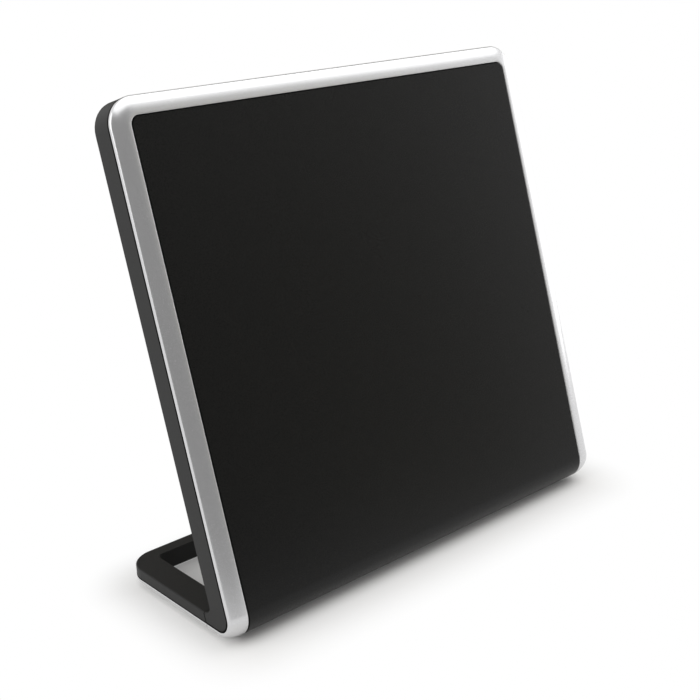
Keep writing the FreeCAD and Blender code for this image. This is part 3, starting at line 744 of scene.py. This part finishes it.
@dataclass
class SilverTray:
    """The silver lower edge of the base, which carries the rim on round the back, and its black bead of
    painted shade.

    Its stations are in the base's axes, in millimetres: across, back and up.
    """

    stance: Stance
    section: SilverSection
    bead: Bead = Bead(lap=0.3)
    width: float = 9.6
    rear_width: float = 3.9
    seam_gap: float = 0.3
    steps: int = 25
    side_steps: int = 9
    corner_steps: int = 32
    least_share: float = 1e-6

    def profile(self, width: np.ndarray) -> tuple[np.ndarray, np.ndarray]:
        """Sections as inset and height, one for each width: the rim's edge and crown cut off at that width.

        Args:
            width: The tray's width at each station.

        Returns:
            Insets and heights, stations by profile points. From the side edge inwards the inset grows in even
            steps to the width, and the height there is read off the rim's section.
        """
        edge = self.section.edge()
        skin = self.section.crown()
        share = np.linspace(0.0, 1.0, self.steps)[1:]
        under = skin[0, 0] + share * (width[:, None] - skin[0, 0])
        bottom = np.interp(under, skin[:, 0], skin[:, 1])
        outer = np.broadcast_to(edge, (len(width), *edge.shape))
        inset = np.concatenate([outer[..., 0], under, width[:, None]], axis=1)
        top = np.full((len(width), 1), self.section.parting)
        return inset, np.concatenate([outer[..., 1], bottom, top], axis=1)

    def left_half(self) -> tuple[Stations, np.ndarray]:
        """Lay out the left half of the path: the straight side, then the rear corner.

        Round the corner the inner edge stays on the straight lines of the side's width and the rear's. The
        least share keeps both divisions there clear of nought.

        Returns:
            Stations from the left seam to the end of the rear corner, and the tray's width at each.
        """
        stance, radius = self.stance, self.stance.corner_radius
        across, back, up = np.eye(3)
        start = (stance.seam + self.seam_gap) / stance.cosine
        run = np.linspace(start, stance.base_rear - radius, self.side_steps)[:, None]
        deep = np.tile(up, (self.side_steps, 1))
        deep[0] += math.tan(stance.lean) * back
        side = Stations.spread(run * back - stance.half * across, across, deep)
        sweep = np.linspace(0.0, math.pi / 2, self.corner_steps + 1)[1:]
        sine, cosine = np.sin(sweep), np.cos(sweep)
        ray = sine[:, None] * back - cosine[:, None] * across
        middle = (radius - stance.half) * across + (stance.base_rear - radius) * back
        corner = Stations.spread(middle + radius * ray, -ray, up)
        to_side = (radius - self.width) / np.maximum(cosine, self.least_share)
        to_rear = (radius - self.rear_width) / np.maximum(sine, self.least_share)
        width = np.concatenate([np.full(self.side_steps, self.width), radius - np.minimum(to_side, to_rear)])
        return Stations.joined(side, corner), width

    def build(self) -> None:
        """Carry the section from seam to seam, stand it in for the CAD tray and lay the painted-shade bead on
        it.
        """
        left, width = self.left_half()
        path = left.with_mirror()
        skin = self.stance.level(*path.carry(*self.profile(np.concatenate([width, width[::-1]]))))
        piece = make_piece("base_tray_skin", skin, Slot.SILVER, wrap=True, caps=True)
        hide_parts("base_tray")
        # The bead is painted shade: a dark strip in place of the gap's shadow
        bead = self.stance.level(*path.carry(*self.bead.profile(self.section).T))
        make_piece("tray_shade_strip", bead, Slot.RUBBER, wrap=True, caps=True)


def full_turn(count: int) -> np.ndarray:
    """Even angles once round, in radians, without the last one that would meet the first."""
    return np.linspace(0.0, 2 * math.pi, count, endpoint=False)


def hexagon_radius(angle: np.ndarray, flats: float) -> np.ndarray:
    """Distance to a hexagon's side: half its flats over the cosine of the angle from the nearest flat."""
    step = math.pi / 3
    return flats / 2 / np.cos(angle % step - step / 2)


@dataclass
class CoaxSocket:
    """The threaded coaxial socket on the rear cover and the nut that holds it, in millimetres."""

    stance: Stance
    rise: float = 85.0
    wall: float = 2.0
    barrel_radius: float = 4.7
    bore_radius: float = 3.4
    shoulder_flats: float = 11.0
    shoulder_height: float = 3.0
    washer_thickness: float = 0.6
    nut_flats: float = 11.1
    nut_height: float = 2.4
    nut_bore: float = 4.75
    cone_height: float = 0.55
    cone_inset: float = 0.1
    cone_slope_deg: float = 30.0
    cone_points: int = 8
    relief_width: float = 0.6
    relief_depth: float = 0.3
    thread_length: float = 7.0
    thread_pitch: float = 0.794
    thread_depth: float = 0.38
    thread_steps: int = 12
    chamfer: float = 0.4
    columns: int = 96

    @property
    def angle(self) -> np.ndarray:
        """Angles round the axis."""
        return full_turn(self.columns)

    @property
    def nut_end(self) -> float:
        """Depth of the nut's outer face behind the panel's front."""
        return self.stance.depth + self.washer_thickness + self.nut_height

    def turn(self, radius: np.ndarray, depth: np.ndarray) -> np.ndarray:
        """Points round the axis: radius times the cosine and sine of the angle, at depths behind the face."""
        across, rise = radius * np.cos(self.angle), self.rise + radius * np.sin(self.angle)
        return self.stance.sloped(across, rise, -depth[:, None])

    def thread(self) -> tuple[np.ndarray, np.ndarray]:
        """Work out the screw thread.

        The radius falls from the crest by a triangle wave of the depth over the pitch less the angle over a
        turn, and the wave fades out over the first and the last pitch.

        Returns:
            Radii, rows by angles, and the depth of each row.
        """
        start = self.nut_end + self.relief_width
        rows = 1 + self.thread_steps * round(self.thread_length / self.thread_pitch)
        depth = np.linspace(start, start + self.thread_length, rows)
        phase = (depth[:, None] / self.thread_pitch - self.angle / (2 * math.pi)) % 1.0
        groove = 1.0 - np.abs(2.0 * phase - 1.0)
        ends = np.minimum(depth - start, start + self.thread_length - depth) / self.thread_pitch
        fade = np.clip(ends, 0.0, 1.0)[:, None]
        return self.barrel_radius - self.thread_depth * fade * groove, depth

    def build_barrel(self) -> None:
        """Turn the socket as one closed skin: shoulder, barrel, relief, thread, lead and bore."""
        inside = self.stance.depth - self.wall
        back = inside - self.shoulder_height
        relief = self.nut_end + self.relief_width
        ring = np.ones(self.columns)
        bore, barrel = self.bore_radius * ring, self.barrel_radius * ring
        neck, lead = barrel - self.relief_depth, barrel - self.chamfer
        hexagon = hexagon_radius(self.angle, self.shoulder_flats)
        thread_radius, thread_depth = self.thread()
        end = thread_depth[-1] + self.chamfer
        radius_before = [bore, hexagon, hexagon, barrel, barrel, neck, neck]
        depth_before = [back, back, inside, inside, self.nut_end, self.nut_end, relief]
        radius = np.concatenate([radius_before, thread_radius, [lead, bore, bore]])
        depth = np.concatenate([depth_before, thread_depth, [end, end, back]])
        piece = make_piece("coax_barrel", self.turn(radius, depth), Slot.NICKEL, wrap=True)
        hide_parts("coax_socket")

    def build_nut(self) -> None:
        """Turn the nut: a hexagon held inside a cone at each face, as a lathe leaves it."""
        start = self.nut_end - self.nut_height
        hexagon = hexagon_radius(self.angle, self.nut_flats)
        first = np.linspace(0.0, self.cone_height, self.cone_points)
        last = np.linspace(self.nut_height - self.cone_height, self.nut_height, self.cone_points)
        along = np.concatenate([first, last])
        from_face = np.minimum(along, self.nut_height - along)
        slope = math.tan(math.radians(self.cone_slope_deg))
        cone = self.nut_flats / 2 - self.cone_inset + from_face / slope
        outside = np.minimum(hexagon, cone[:, None])
        bore = np.full((1, self.columns), self.nut_bore)
        radius = np.concatenate([bore, outside, bore, bore])
        depth = start + np.concatenate([[0.0], along, [self.nut_height, 0.0]])
        piece = make_piece("coax_nut", self.turn(radius, depth), Slot.NICKEL, wrap=True)
        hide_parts("socket_nut")

    def build(self) -> None:
        """Build the barrel and its nut."""
        self.build_barrel()
        self.build_nut()


class Seat(Enum):
    """Which frame a group of screws is set in."""

    PANEL = "behind the face of the leaning panel"
    BASE = "under the level base"


@dataclass
class CrossScrews:
    """A group of pan-head screws with a cross recess, in millimetres.

    The recess and the point are in shares: reach and half bar of the head's radius, wall of the half bar,
    depth of the head's height, point of the shank's radius. The climb is how steeply the recess runs out.
    """

    stance: Stance
    node: str
    seat: Seat
    places: tuple[tuple[float, float], ...]
    seat_height: float
    head_radius: float
    head_height: float
    shank_radius: float
    shank_length: float
    dome: float = 0.35
    recess_reach: float = 0.62
    recess_half: float = 0.15
    recess_wall: float = 0.4
    recess_depth: float = 0.55
    recess_climb: float = 1.6
    point_share: float = 0.8
    rows: int = 25
    columns: int = 64

    @property
    def angle(self) -> np.ndarray:
        """Angles round a screw's axis."""
        return full_turn(self.columns)

    def head(self) -> tuple[np.ndarray, np.ndarray]:
        """Work out the head's top.

        The top is a parabola less a recess: two crossed bars whose depth falls off towards their ends.

        Returns:
            Radii and heights above the seat, rows by angles.
        """
        radius = np.linspace(0.0, self.head_radius, self.rows)[:, None] * np.ones(self.columns)
        arm = np.minimum(np.abs(radius * np.cos(self.angle)), np.abs(radius * np.sin(self.angle)))
        reach, half_bar = self.recess_reach * self.head_radius, self.recess_half * self.head_radius
        bar = np.clip((half_bar - arm) / (self.recess_wall * half_bar) + 0.5, 0.0, 1.0)
        fall = np.clip(self.recess_climb * (1.0 - radius / reach), 0.0, 1.0)
        top = self.head_height - self.dome * (radius / self.head_radius) ** 2
        return radius, top - self.recess_depth * self.head_height * bar * fall

    def build(self) -> None:
        """Turn one screw from its recess to its point, then set it at every place."""
        head_radius, head_height = self.head()
        ring = np.ones((1, self.columns))
        shank = np.array([self.head_radius, self.shank_radius, self.shank_radius, 0.0])[:, None]
        point = self.point_share * self.shank_radius
        drop = np.array([0.0, 0.0, point - self.shank_length, -self.shank_length])[:, None]
        radius = np.concatenate([head_radius, shank * ring])
        height = np.concatenate([head_height, drop * ring])
        across, along = np.array(self.places).T[:, :, None, None]
        across = across + radius * np.cos(self.angle)
        along = along + radius * np.sin(self.angle)
        if self.seat is Seat.PANEL:
            grid = self.stance.sloped(across, along, -self.seat_height - height)
        else:
            grid = self.stance.level(across, along, self.seat_height - height)
        count, rows = grid.shape[:2]
        first_points = np.arange(count)[:, None, None] * rows * self.columns
        faces = (first_points + grid_faces(rows, self.columns, True)).reshape(-1, 4)
        mesh = bpy.data.meshes.new(self.node)
        mesh.from_pydata(grid.reshape(-1, 3).tolist(), [], faces.tolist())
        piece = finish_piece(f"{self.node}_cross", mesh, Slot.STEEL)
        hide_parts(self.node)


def screw_groups(stance: Stance) -> Iterator[CrossScrews]:
    """The screws whose heads show: six in the rear cover and four under the foot of the face.

    Args:
        stance: How the panel stands.

    Yields:
        Each group, ready to build.
    """
    side_inset, lowest, top_drop = 20.5, 30.0, 24.0
    highest = stance.length - top_drop
    rises = (lowest, (lowest + highest) / 2, highest)
    yield CrossScrews(
        stance,
        "cover_screws",
        Seat.PANEL,
        tuple((side * (stance.half - side_inset), rise) for side in (-1, 1) for rise in rises),
        seat_height=9.0,
        head_radius=2.4,
        head_height=1.7,
        shank_radius=1.05,
        shank_length=6.4,
    )
    inner, outer = 27.0, 80.0
    back = (stance.bend_start + stance.seam_back) / 2
    yield CrossScrews(
        stance,
        "stand_screws",
        Seat.BASE,
        tuple((side * across, back) for side in (-1, 1) for across in (inner, outer)),
        seat_height=1.05,
        head_radius=2.1,
        head_height=0.9,
        shank_radius=1.0,
        shank_length=6.5,
    )


@dataclass
class RubberFeet:
    """Four long rubber pads let into the underside of the base, in millimetres.

    Each sole is a little hollow: it rises by the dish inside a margin.
    """

    stance: Stance
    length: float = 16.0
    width: float = 4.0
    end_radius: float = 1.8
    recess: float = 0.5
    edge: float = 0.45
    edge_points: int = 7
    margin: float = 1.2
    dish: float = 0.06
    columns: int = 48

    def ring(self, inset: np.ndarray) -> tuple[np.ndarray, np.ndarray]:
        """Rounded outlines: corner arcs of the end radius less the inset, about fixed corner centres.

        Args:
            inset: How far each outline lies inside the pad's own.

        Returns:
            Places across and along, outlines by points.
        """
        angle = full_turn(self.columns) + math.pi / self.columns
        centre_across = (self.width / 2 - self.end_radius) * np.sign(np.cos(angle))
        centre_along = (self.length / 2 - self.end_radius) * np.sign(np.sin(angle))
        radius = (self.end_radius - inset)[:, None]
        return centre_across + radius * np.cos(angle), centre_along + radius * np.sin(angle)

    def build(self) -> None:
        """Round each pad's lower edge by a quarter circle and set it in the CAD pad's place."""
        turn = np.linspace(0.0, math.pi / 2, self.edge_points)
        top = self.stance.foot_height + self.recess
        inset = np.concatenate([[self.margin], self.edge * (1.0 - np.sin(turn)), [0.0]])
        height = np.concatenate([[self.dish], self.edge * (1.0 - np.cos(turn)), [top]])
        across, along = self.ring(inset)
        up = np.broadcast_to(height[:, None], across.shape)
        for name in (f"foot_{end}_{side}" for end in ("front", "rear") for side in ("left", "right")):
            low, high = (np.array(corner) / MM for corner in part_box(name))
            middle = (low + high) / 2
            grid = np.stack([across + middle[0], along + middle[1], up], axis=-1)
            piece = make_piece(f"{name}_pad", grid * MM, Slot.RUBBER, wrap=True, caps=True)
            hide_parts(name)


def heading(azimuth: float, elevation: float) -> Vector:
    """The way from the object out to a place, given in degrees to the right of the front and degrees up."""
    turn, rise = math.radians(azimuth), math.radians(elevation)
    return Vector((math.sin(turn) * math.cos(rise), -math.cos(turn) * math.cos(rise), math.sin(rise)))


def stage_material(name: str, colour: str, roughness: float, specular: float = 0.1) -> Material:
    """A plain matt material for the studio's own surfaces.

    Args:
        name: Name of the material.
        colour: Its sRGB hex colour.
        roughness: Its roughness.
        specular: Its specular level, low for paper and cloth.

    Returns:
        The new material.
    """
    made = bpy.data.materials.new(name)
    made.use_nodes = True
    tree = made.node_tree
    tree.nodes.clear()
    settings = {"Base Color": linear(colour), "Roughness": roughness, "Specular IOR Level": specular}
    matt = add_node(tree, "ShaderNodeBsdfPrincipled", settings)
    add_node(tree, "ShaderNodeOutputMaterial", links={"Surface": matt.outputs["BSDF"]})
    return made


def seen_rays(tree: NodeTree) -> NodeSocket:
    """One where a ray shows the background to the eye, directly, in a reflection or through glass.

    Args:
        tree: The tree that gets the nodes.

    Returns:
        The socket that gives 1 for such a ray and 0 for the others.
    """
    path = add_node(tree, "ShaderNodeLightPath").outputs
    seen = path["Is Camera Ray"]
    for kind in ("Is Glossy Ray", "Is Transmission Ray"):
        links = {0: seen, 1: path[kind]}
        seen = add_node(tree, "ShaderNodeMath", {"operation": "MAXIMUM"}, links).outputs[0]
    return seen


@dataclass(frozen=True)
class Softbox:
    """A square soft lamp that looks at the middle of the panel, in metres and watts."""

    name: str
    azimuth: float
    elevation: float
    distance: float
    size: float
    power: float

    def build(self, target: Vector) -> None:
        """Hang the lamp at its azimuth to the right of the front and its elevation, both in degrees.

        Args:
            target: The place that it looks at.
        """
        way = heading(self.azimuth, self.elevation)
        lamp = bpy.data.lights.new(self.name, "AREA")
        lamp.size = self.size
        lamp.energy = self.power
        holder = add_object(self.name, lamp)
        holder.location = target + self.distance * way
        holder.rotation_euler = (-way).to_track_quat("-Z", "Y").to_euler()
        holder.visible_camera = False


@dataclass(frozen=True)
class Curtain:
    """A tall curtain on part of a circle round the object, with an apron along the floor, in metres.

    It shows only in reflections, where it sets how dark the black and the silver look.
    """

    name: str
    start: float
    end: float
    colour: str
    top_colour: str
    apron: float = 0.3
    fade_from: float = 0.55
    fade_to: float = 1.0
    radius: float = 2.2
    height: float = 2.7
    lift: float = 0.002
    roughness: float = 0.9
    columns: int = 33

    def build(self) -> None:
        """Stand the curtain: radius times the sine and cosine of the azimuth, along the floor and then up."""
        turn = np.radians(np.linspace(self.start, self.end, self.columns))[:, None]
        radius = np.array([self.apron, self.radius, self.radius])[None, :]
        height = np.array([self.lift, self.lift, self.height])[None, :]
        across, front, height = np.broadcast_arrays(radius * np.sin(turn), -radius * np.cos(turn), height)
        grid = np.stack([across, front, height], axis=-1)
        mesh = bpy.data.meshes.new(self.name)
        mesh.from_pydata(grid.reshape(-1, 3).tolist(), [], grid_faces(*grid.shape[:2], False).tolist())
        mesh.materials.append(self.material())
        screen = add_object(self.name, mesh)
        screen.visible_camera = False
        screen.visible_diffuse = False
        screen.visible_shadow = False

    def material(self) -> Material:
        """Matt cloth that fades from one colour below to the other above.

        Returns:
            The curtain's material.
        """
        made = stage_material(self.name, self.colour, self.roughness)
        tree = made.node_tree
        place = add_node(tree, "ShaderNodeTexCoord").outputs["Object"]
        up = add_node(tree, "ShaderNodeSeparateXYZ", links={0: place}).outputs["Z"]
        span = {"From Min": self.fade_from, "From Max": self.fade_to}
        share = add_node(tree, "ShaderNodeMapRange", span, {"Value": up}).outputs[0]
        tint = colour_ramp(tree, share, (self.colour, self.top_colour))
        tree.links.new(tint, tree.nodes["Principled BSDF"].inputs["Base Color"])
        return made


@dataclass(frozen=True)
class Studio:
    """Pale floor, soft lamps, curtains and the camera at the photograph's place, in metres and degrees."""

    camera_place: tuple[float, float, float] = (-0.349165, -0.388440, 0.275115)
    azimuth: float = -40.9669
    elevation: float = 19.5789
    roll: float = -1.9154
    lens: float = 62.928
    sensor: float = 36.0
    floor_colour: str = "#f5f4f2"
    floor_roughness: float = 0.5
    floor_reach: float = 12.0
    # The paper's painted white glow starts inside the trimmed, shifted footprint and lightens the shadow near
    # the object
    shadow_near: float = -0.004
    shadow_far: float = 0.035
    shadow_trim: tuple[float, float, float] = (0.009, 0.008, 0.0)
    shadow_middle: tuple[float, float, float] = (0.0, -0.0035, 0.0)
    fill: float = 0.50
    lamp_target: tuple[float, float, float] = (0.0, 0.0, 0.09)
    # Each lamp's azimuth and elevation, then its distance, size and power
    lamps: tuple[Softbox, ...] = (
        Softbox("overhead_softbox", 20.0, 78.0, 1.5, 1.5, 8.0),
        Softbox("high_softbox", 72.0, 46.0, 1.5, 0.8, 2.2),
        Softbox("right_softbox", 86.0, 5.0, 0.7, 0.45, 0.9),
        Softbox("left_softbox", -100.0, 28.0, 1.5, 1.1, 6.0),
    )
    # Each curtain's first and last azimuth, then its colours below and above
    curtains: tuple[Curtain, ...] = (
        Curtain("front_curtain", -72.0, 27.0, "#9e9e9e", "#9e9e9e"),
        Curtain("side_curtain", 27.0, 48.0, "#cfccc1", "#fffefa", height=1.7),
        Curtain("rear_curtain", 105.0, 170.0, "#eeece8", "#98938a", fade_from=0.15, fade_to=0.4),
    )

    def build(self) -> None:
        """Make the floor, the world, the lamps, the curtains and the camera."""
        self.build_floor()
        self.build_world()
        for lamp in self.lamps:
            lamp.build(Vector(self.lamp_target))
        for curtain in self.curtains:
            curtain.build()
        self.build_camera()

    def build_floor(self) -> None:
        """Lay a wide level sheet of paper."""
        reach = self.floor_reach
        corners = [(-reach, -reach, 0.0), (reach, -reach, 0.0), (reach, reach, 0.0), (-reach, reach, 0.0)]
        mesh = bpy.data.meshes.new("studio_floor")
        mesh.from_pydata(corners, [], [(0, 1, 2, 3)])
        mesh.materials.append(self.paper())
        floor = add_object("studio_floor", mesh)

    def paper(self) -> Material:
        """Paper that shows the object's shadow near it and is plain white further off. The white is a painted
        glow that fades in from just inside the object's trimmed footprint, so it also lightens the shadow
        near the object.

        The distance off is the length of what lies beyond the object's footprint, across and along.

        Returns:
            The floor's material.
        """
        made = stage_material("studio_paper", self.floor_colour, self.floor_roughness)
        tree = made.node_tree
        place = add_node(tree, "ShaderNodeTexCoord").outputs["Object"]
        footprint = Vector((CAD_BOX[1][0], CAD_BOX[1][1], 0.0)) - Vector(self.shadow_trim)
        for settings in (
            {"operation": "SUBTRACT", 1: self.shadow_middle},
            {"operation": "ABSOLUTE"},
            {"operation": "SUBTRACT", 1: footprint},
            {"operation": "MAXIMUM"},
        ):
            place = add_node(tree, "ShaderNodeVectorMath", settings, {0: place}).outputs[0]
        away = add_node(tree, "ShaderNodeVectorMath", {"operation": "LENGTH"}, {0: place}).outputs["Value"]
        fade = {"From Min": self.shadow_near, "From Max": self.shadow_far, "interpolation_type": "SMOOTHSTEP"}
        off = add_node(tree, "ShaderNodeMapRange", fade, {"Value": away}).outputs[0]
        links = {0: off, 1: seen_rays(tree)}
        share = add_node(tree, "ShaderNodeMath", {"operation": "MULTIPLY"}, links).outputs[0]
        matt = tree.nodes["Principled BSDF"].outputs["BSDF"]
        white = add_node(tree, "ShaderNodeEmission", {"Color": linear(WHITE), "Strength": 1.0}).outputs[0]
        mixed = add_node(tree, "ShaderNodeMixShader", links={0: share, 1: matt, 2: white}).outputs[0]
        tree.links.new(mixed, tree.nodes["Material Output"].inputs["Surface"])
        return made

    def build_world(self) -> None:
        """White where the camera or a reflection looks past the floor, and softer grey as light."""
        world = bpy.data.worlds.new("studio_world")
        bpy.context.scene.world = world
        world.use_nodes = True
        tree = world.node_tree
        tree.nodes.clear()
        fill, white = (
            add_node(tree, "ShaderNodeBackground", {"Color": linear(WHITE), "Strength": strength}).outputs[0]
            for strength in (self.fill, 1.0)
        )
        mixed = add_node(tree, "ShaderNodeMixShader", links={0: seen_rays(tree), 1: fill, 2: white})
        add_node(tree, "ShaderNodeOutputWorld", links={"Surface": mixed.outputs[0]})

    def build_camera(self) -> None:
        """Set up the camera from its place, azimuth, elevation and roll."""
        turn, roll = math.radians(self.azimuth), math.radians(self.roll)
        back = heading(self.azimuth, self.elevation)
        right = Vector((math.cos(turn), math.sin(turn), 0.0))
        up = back.cross(right)
        right, up = right * math.cos(roll) + up * math.sin(roll), up * math.cos(roll) - right * math.sin(roll)
        lens = bpy.data.cameras.new("photo_camera")
        lens.lens = self.lens
        lens.sensor_width = self.sensor
        lens.dof.use_dof = False
        holder = add_object("photo_camera", lens)
        facing = Matrix((right, up, back)).transposed().to_4x4()
        holder.matrix_world = Matrix.Translation(self.camera_place) @ facing
        bpy.context.scene.camera = holder


def dress_nodes() -> None:
    """Give every CAD node the finish of its slot."""
    slots = {part["node"]: Slot(part["material_slot"]) for part in frame["record"]["subparts"]}
    for name, node in frame["nodes"].items():
        node.data.materials.clear()
        node.data.materials.append(FINISH_OF[slots[name]].material())


def main() -> None:
    """Build the studio, then each sub-assembly in order."""
    logging.basicConfig(level=logging.INFO, format="%(name)s: %(message)s")
    bpy.context.scene.view_settings.view_transform = "Standard"
    stance = Stance()
    Studio().build()
    dress_nodes()
    section = SilverSection(stance.rim_depth)
    rim = SilverRim(stance, section)
    rim.build()
    RimShadeStrips(rim).build()
    JointShadeStrip(stance).build()
    FrontFace(stance).build()
    SilverTray(stance, section).build()
    RubberFeet(stance).build()
    CoaxSocket(stance).build()
    for screws in screw_groups(stance):
        screws.build()


if __name__ == "__main__":
    main()
